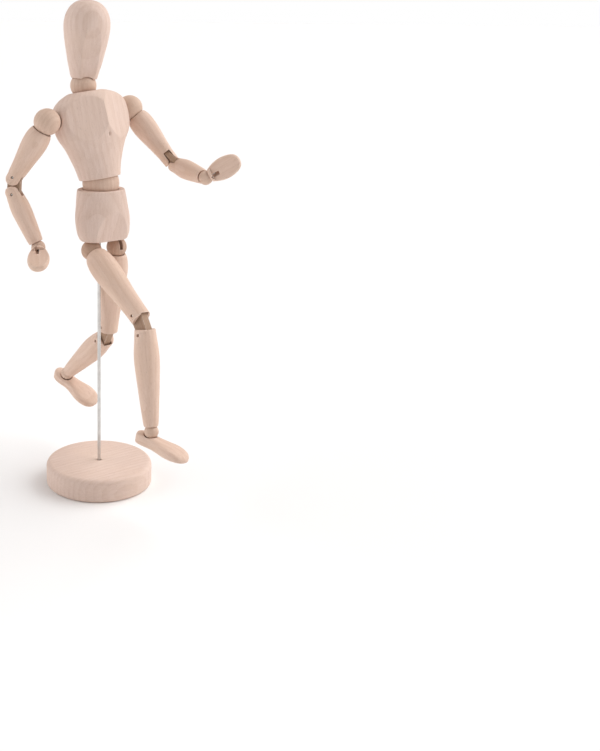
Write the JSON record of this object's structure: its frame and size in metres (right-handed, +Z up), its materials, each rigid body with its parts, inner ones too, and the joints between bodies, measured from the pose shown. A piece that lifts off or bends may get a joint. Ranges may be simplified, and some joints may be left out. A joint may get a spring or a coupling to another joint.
{
  "type": "artist mannequin",
  "caption": "Small jointed wooden lay figure striding on a steel rod above a round wooden stand, with a plain egg-shaped head and mitten-like hands.",
  "frame": {"origin": "centre of the underside of the stand, on the axis of the support rod", "axes": "+Z up along the rod; the pelvis faces -Y; +X is the side of the left arm and leg"},
  "size_m": [0.0507, 0.0752, 0.14],
  "materials": {
    "body_wood": "fine sanded unvarnished pale hardwood",
    "ball_wood": "turned unvarnished pale hardwood",
    "link_wood": "plain plywood-like wooden link",
    "steel": "drawn steel wire"
  },
  "bodies": {
    "stand": {"base": "body_wood", "support_rod": "steel"},
    "pelvis": {"pelvis": "body_wood"},
    "waist_spring": {"waist_spring": "steel"},
    "waist_ball": {"waist_ball": "ball_wood"},
    "chest": {"chest": "body_wood", "chest_spring": "steel"},
    "neck_spring": {"neck_spring": "steel"},
    "neck_ball": {"neck_ball": "ball_wood"},
    "head": {"head": "body_wood", "head_spring": "steel"},
    "shoulder_spring_right": {"shoulder_spring_right": "steel"},
    "shoulder_ball_right": {"shoulder_ball_right": "ball_wood", "arm_spring_right": "steel"},
    "upper_arm_right": {"upper_arm_right": "body_wood", "elbow_upper_pin_right": "steel"},
    "elbow_link_right": {"elbow_link_right": "link_wood"},
    "forearm_right": {"forearm_right": "body_wood", "elbow_lower_pin_right": "steel"},
    "wrist_ball_right": {"wrist_ball_right": "ball_wood", "wrist_spring_right": "steel"},
    "hand_right": {"hand_right": "body_wood"},
    "hip_spring_right": {"hip_spring_right": "steel"},
    "hip_ball_right": {"hip_ball_right": "ball_wood", "thigh_spring_right": "steel"},
    "thigh_right": {"thigh_right": "body_wood", "knee_upper_pin_right": "steel"},
    "knee_link_right": {"knee_link_right": "link_wood"},
    "calf_right": {"calf_right": "body_wood", "knee_lower_pin_right": "steel"},
    "ankle_ball_right": {"ankle_ball_right": "ball_wood", "ankle_spring_right": "steel"},
    "foot_right": {"foot_right": "body_wood"},
    "shoulder_spring_left": {"shoulder_spring_left": "steel"},
    "shoulder_ball_left": {"shoulder_ball_left": "ball_wood", "arm_spring_left": "steel"},
    "upper_arm_left": {"upper_arm_left": "body_wood", "elbow_upper_pin_left": "steel"},
    "elbow_link_left": {"elbow_link_left": "link_wood"},
    "forearm_left": {"forearm_left": "body_wood", "elbow_lower_pin_left": "steel"},
    "wrist_ball_left": {"wrist_ball_left": "ball_wood", "wrist_spring_left": "steel"},
    "hand_left": {"hand_left": "body_wood"},
    "hip_spring_left": {"hip_spring_left": "steel"},
    "hip_ball_left": {"hip_ball_left": "ball_wood", "thigh_spring_left": "steel"},
    "thigh_left": {"thigh_left": "body_wood", "knee_upper_pin_left": "steel"},
    "knee_link_left": {"knee_link_left": "link_wood"},
    "calf_left": {"calf_left": "body_wood", "knee_lower_pin_left": "steel"},
    "ankle_ball_left": {"ankle_ball_left": "ball_wood", "ankle_spring_left": "steel"},
    "foot_left": {"foot_left": "body_wood"}
  },
  "joints": [
    {"name": "figure_turn", "type": "hinge", "parent": "stand", "child": "pelvis", "pos_m": [0, 0, 0.0732], "axis": [0, 0, 1], "continuous": true},
    {"name": "waist_turn", "type": "hinge", "parent": "pelvis", "child": "waist_spring", "pos_m": [0.0001, -0.0007, 0.0899], "axis": [0, 0, 1], "range_deg": [-45, 35]},
    {"name": "waist_bend", "type": "hinge", "parent": "waist_spring", "child": "waist_ball", "pos_m": [0.0001, -0.0007, 0.0899], "axis": [0.9957, 0.0924, 0], "range_deg": [-14, 30]},
    {"name": "waist_lean", "type": "hinge", "parent": "waist_ball", "child": "chest", "pos_m": [0.0001, -0.0007, 0.0899], "axis": [-0.0913, 0.9837, -0.1547], "range_deg": [-15, 22]},
    {"name": "neck_turn", "type": "hinge", "parent": "chest", "child": "neck_spring", "pos_m": [-0.0025, 0.0041, 0.11676], "axis": [-0.0924, 0.1463, 0.9849], "range_deg": [-45, 80]},
    {"name": "neck_nod", "type": "hinge", "parent": "neck_spring", "child": "neck_ball", "pos_m": [-0.0025, 0.0041, 0.11676], "axis": [0.9598, -0.2503, 0.1272], "range_deg": [-36, 22]},
    {"name": "neck_tilt", "type": "hinge", "parent": "neck_ball", "child": "head", "pos_m": [-0.0025, 0.0041, 0.11676], "axis": [0.2501, 0.9681, 0.0174], "range_deg": [-34, 15]},
    {"name": "shoulder_swing_right", "type": "hinge", "parent": "chest", "child": "shoulder_spring_right", "pos_m": [-0.01655, 0.00055, 0.10765], "axis": [-0.9915, -0.1042, -0.0775], "range_deg": [-25, 120]},
    {"name": "shoulder_raise_right", "type": "hinge", "parent": "shoulder_spring_right", "child": "shoulder_ball_right", "pos_m": [-0.01655, 0.00055, 0.10765], "axis": [-0.1277, 0.8898, 0.4382], "range_deg": [-18, 45]},
    {"name": "arm_twist_right", "type": "hinge", "parent": "shoulder_ball_right", "child": "upper_arm_right", "pos_m": [-0.01655, 0.00055, 0.10765], "axis": [0.3643, -0.3688, 0.8551], "range_deg": [-70, 70]},
    {"name": "elbow_upper_right", "type": "hinge", "parent": "upper_arm_right", "child": "elbow_link_right", "pos_m": [-0.023, 0.00708, 0.09249], "axis": [-0.7685, -0.6376, 0.0524], "range_deg": [-28, 38]},
    {"name": "elbow_lower_right", "type": "hinge", "parent": "elbow_link_right", "child": "forearm_right", "pos_m": [-0.02332, 0.00708, 0.0878], "axis": [-0.7685, -0.6376, 0.0524], "range_deg": [-28, 38]},
    {"name": "wrist_turn_right", "type": "hinge", "parent": "forearm_right", "child": "wrist_ball_right", "pos_m": [-0.0194, 0.00118, 0.07343], "axis": [-0.2447, 0.3687, 0.8968], "range_deg": [-90, 90]},
    {"name": "wrist_bend_right", "type": "hinge", "parent": "wrist_ball_right", "child": "hand_right", "pos_m": [-0.0194, 0.00118, 0.07343], "axis": [-0.6682, 0.606, -0.4315], "range_deg": [-32, 14]},
    {"name": "hip_turn_right", "type": "hinge", "parent": "pelvis", "child": "hip_spring_right", "pos_m": [-0.00432, -0.0025, 0.0714], "axis": [0, 0, -1], "range_deg": [-12, 30]},
    {"name": "hip_swing_right", "type": "hinge", "parent": "hip_spring_right", "child": "hip_ball_right", "pos_m": [-0.00432, -0.0025, 0.0714], "axis": [-0.9978, -0.0663, 0], "range_deg": [-50, 16]},
    {"name": "thigh_twist_right", "type": "hinge", "parent": "hip_ball_right", "child": "thigh_right", "pos_m": [-0.00432, -0.0025, 0.0714], "axis": [0.0544, -0.8193, -0.5707], "range_deg": [-30, 30]},
    {"name": "knee_upper_right", "type": "hinge", "parent": "thigh_right", "child": "knee_link_right", "pos_m": [-0.00296, -0.02305, 0.05708], "axis": [-0.9863, -0.1332, 0.0972], "range_deg": [-40, 21]},
    {"name": "knee_lower_right", "type": "hinge", "parent": "knee_link_right", "child": "calf_right", "pos_m": [-0.00299, -0.02616, 0.05242], "axis": [-0.9863, -0.1332, 0.0972], "range_deg": [-40, 21]},
    {"name": "ankle_turn_right", "type": "hinge", "parent": "calf_right", "child": "ankle_ball_right", "pos_m": [-0.00476, -0.03165, 0.02698], "axis": [-0.0677, -0.2105, -0.9752], "range_deg": [-35, 35]},
    {"name": "ankle_bend_right", "type": "hinge", "parent": "ankle_ball_right", "child": "foot_right", "pos_m": [-0.00476, -0.03165, 0.02698], "axis": [-0.9764, -0.1871, 0.1082], "range_deg": [-30, 30]},
    {"name": "shoulder_swing_left", "type": "hinge", "parent": "chest", "child": "shoulder_spring_left", "pos_m": [0.0132, 0.00367, 0.10997], "axis": [-0.9915, -0.1042, -0.0775], "range_deg": [-80, 60]},
    {"name": "shoulder_raise_left", "type": "hinge", "parent": "shoulder_spring_left", "child": "shoulder_ball_left", "pos_m": [0.0132, 0.00367, 0.10997], "axis": [0.0464, -0.842, 0.5375], "range_deg": [-11, 50]},
    {"name": "arm_twist_left", "type": "hinge", "parent": "shoulder_ball_left", "child": "upper_arm_left", "pos_m": [0.0132, 0.00367, 0.10997], "axis": [0.4265, -0.4699, -0.7729], "range_deg": [-70, 70]},
    {"name": "elbow_upper_left", "type": "hinge", "parent": "upper_arm_left", "child": "elbow_link_left", "pos_m": [0.02072, -0.00462, 0.09634], "axis": [-0.8069, 0.1884, -0.5598], "range_deg": [-31, 35]},
    {"name": "elbow_lower_left", "type": "hinge", "parent": "elbow_link_left", "child": "forearm_left", "pos_m": [0.02142, -0.00863, 0.09399], "axis": [-0.8069, 0.1884, -0.5598], "range_deg": [-31, 35]},
    {"name": "wrist_turn_left", "type": "hinge", "parent": "forearm_left", "child": "wrist_ball_left", "pos_m": [0.01864, -0.02427, 0.09273], "axis": [-0.1744, -0.9815, -0.0788], "range_deg": [-90, 90]},
    {"name": "wrist_bend_left", "type": "hinge", "parent": "wrist_ball_left", "child": "hand_left", "pos_m": [0.01864, -0.02427, 0.09273], "axis": [-0.6711, 0.0599, 0.7389], "range_deg": [-32, 18]},
    {"name": "hip_turn_left", "type": "hinge", "parent": "pelvis", "child": "hip_spring_left", "pos_m": [0.00432, -0.0025, 0.0714], "axis": [0, 0, 1], "range_deg": [-12, 6]},
    {"name": "hip_swing_left", "type": "hinge", "parent": "hip_spring_left", "child": "hip_ball_left", "pos_m": [0.00432, -0.0025, 0.0714], "axis": [-0.9954, 0.0958, 0], "range_deg": [-34, 22]},
    {"name": "thigh_twist_left", "type": "hinge", "parent": "hip_ball_left", "child": "thigh_left", "pos_m": [0.00432, -0.0025, 0.0714], "axis": [-0.0173, -0.1797, 0.9836], "range_deg": [-30, 30]},
    {"name": "knee_upper_left", "type": "hinge", "parent": "thigh_left", "child": "knee_link_left", "pos_m": [0.00475, 0.00201, 0.0467], "axis": [-0.9998, 0.005, -0.0167], "range_deg": [-42, 20]},
    {"name": "knee_lower_left", "type": "hinge", "parent": "knee_link_left", "child": "calf_left", "pos_m": [0.00485, 0.00489, 0.0419], "axis": [-0.9998, 0.005, -0.0167], "range_deg": [-42, 20]},
    {"name": "ankle_turn_left", "type": "hinge", "parent": "calf_left", "child": "ankle_ball_left", "pos_m": [0.00522, 0.02534, 0.02567], "axis": [-0.0143, -0.7832, 0.6217], "range_deg": [-35, 35]},
    {"name": "ankle_bend_left", "type": "hinge", "parent": "ankle_ball_left", "child": "foot_left", "pos_m": [0.00522, 0.02534, 0.02567], "axis": [-0.9511, -0.1812, -0.2501], "range_deg": [-30, 30]}
  ]
}
